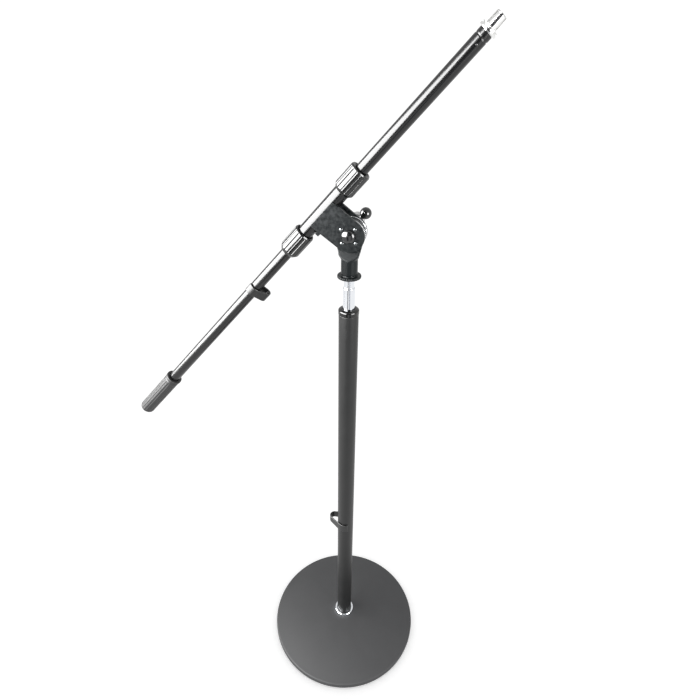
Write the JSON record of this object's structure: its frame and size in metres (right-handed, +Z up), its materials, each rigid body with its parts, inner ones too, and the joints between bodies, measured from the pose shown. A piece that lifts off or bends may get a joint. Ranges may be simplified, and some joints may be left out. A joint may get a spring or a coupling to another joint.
{
  "type": "boom microphone stand",
  "caption": "Floor microphone stand with a round weighted base, a telescoping mast and a tilting boom arm that slides through a clamp.",
  "frame": {"origin": "centre of the rubber sole's underside, on the floor under the mast", "axes": "+Z up along the mast; the boom lies in the XZ plane and rises towards +X; the bolt head and the front plate face -Y and the clamp handle is on the +Y side"},
  "size_m": [0.4502, 0.254, 0.9675],
  "materials": {
    "sole_rubber": "matte black rubber",
    "base_powder_coat": "fine textured dark grey powder coat on cast iron",
    "mast_powder_coat": "satin black powder coat on steel tube",
    "boom_paint": "satin-gloss black paint on steel tube",
    "bracket_paint": "matte blue-black paint",
    "bolt_black": "gloss black finish on steel",
    "chrome_plate": "bright chrome plate",
    "zinc_steel": "zinc-plated steel",
    "blackened_steel": "blackened steel",
    "disc_steel": "bright turned steel",
    "rivet_steel": "plain steel rivets",
    "cap_plastic": "gloss black plastic",
    "clip_plastic": "satin black plastic",
    "knob_plastic": "gloss black ribbed plastic",
    "grip_rubber": "matte dark grey rubber",
    "handle_plastic": "black moulded plastic",
    "ball_plastic": "gloss black plastic",
    "bush_nylon": "natural nylon"
  },
  "bodies": {
    "base": {"rubber_sole": "sole_rubber", "base_plate": "base_powder_coat", "foot_ring": "chrome_plate", "base_washer": "zinc_steel", "base_bolt": "zinc_steel", "mast_tube": "mast_powder_coat", "mast_foot_plug": "zinc_steel", "mast_cap": "cap_plastic"},
    "mast_clip": {"mast_cable_clip": "clip_plastic"},
    "inner_mast": {"inner_tube": "chrome_plate", "guide_bush": "bush_nylon", "bush_retainer": "bush_nylon"},
    "lock_nut": {"lock_ring": "bracket_paint"},
    "head": {"swivel_head": "bracket_paint"},
    "bracket": {"bracket_plate_front": "bracket_paint", "bracket_plate_rear": "bracket_paint", "bracket_spacer": "bracket_paint", "friction_disc_front": "disc_steel", "friction_disc_rear": "disc_steel", "rivet_front_1": "rivet_steel", "rivet_front_2": "rivet_steel", "rivet_front_3": "rivet_steel", "rivet_front_4": "rivet_steel", "rivet_rear_1": "rivet_steel", "rivet_rear_2": "rivet_steel", "rivet_rear_3": "rivet_steel", "rivet_rear_4": "rivet_steel", "pivot_bolt": "bolt_black", "cap_nut": "zinc_steel", "boom_sleeve": "boom_paint", "upper_collet": "bush_nylon", "lower_collet": "bush_nylon"},
    "handle": {"handle_washer": "zinc_steel", "handle_hub": "handle_plastic", "handle_bar_upper": "blackened_steel", "handle_bar_lower": "blackened_steel", "handle_ball_upper": "ball_plastic", "handle_ball_lower": "ball_plastic"},
    "upper_clutch": {"upper_clutch_knob": "knob_plastic"},
    "lower_clutch": {"lower_clutch_knob": "knob_plastic"},
    "rod": {"boom_rod": "boom_paint", "end_grip": "grip_rubber", "tip_bush": "chrome_plate", "tip_stud": "chrome_plate"},
    "rod_clip": {"boom_cable_clip": "clip_plastic"}
  },
  "joints": [
    {"name": "height_slide", "type": "slide", "parent": "base", "child": "inner_mast", "axis": [0, 0, 1], "range_m": [-0.03, 0.2]},
    {"name": "lock_nut_turn", "type": "hinge", "parent": "inner_mast", "child": "lock_nut", "pos_m": [0, 0, 0.706], "axis": [0, 0, 1], "range_deg": [-180, 180]},
    {"name": "head_swivel", "type": "hinge", "parent": "inner_mast", "child": "head", "pos_m": [0, 0, 0.7085], "axis": [0, 0, 1], "continuous": true},
    {"name": "boom_tilt", "type": "hinge", "parent": "head", "child": "bracket", "pos_m": [0, 0, 0.7565], "axis": [0, 1, 0], "range_deg": [-41, 138]},
    {"name": "clamp_handle_turn", "type": "hinge", "parent": "bracket", "child": "handle", "pos_m": [0, 0.035, 0.7565], "axis": [0, 1, 0], "range_deg": [-90, 90]},
    {"name": "upper_clutch_turn", "type": "hinge", "parent": "bracket", "child": "upper_clutch", "pos_m": [0.00344, 0, 0.81731], "axis": [0.6592, 0, 0.752], "range_deg": [-90, 90]},
    {"name": "lower_clutch_turn", "type": "hinge", "parent": "bracket", "child": "lower_clutch", "pos_m": [-0.05984, 0, 0.74513], "axis": [0.6592, 0, 0.752], "range_deg": [-90, 90]},
    {"name": "boom_slide", "type": "slide", "parent": "bracket", "child": "rod", "axis": [0.6592, 0, 0.752], "range_m": [-0.15, 0.035]},
    {"name": "mast_clip_slide", "type": "slide", "parent": "base", "child": "mast_clip", "axis": [0, 0, 1], "range_m": [-0.22, 0.36]},
    {"name": "rod_clip_slide", "type": "slide", "parent": "rod", "child": "rod_clip", "axis": [0.6592, 0, 0.752], "range_m": [-0.18, 0.02]}
  ]
}
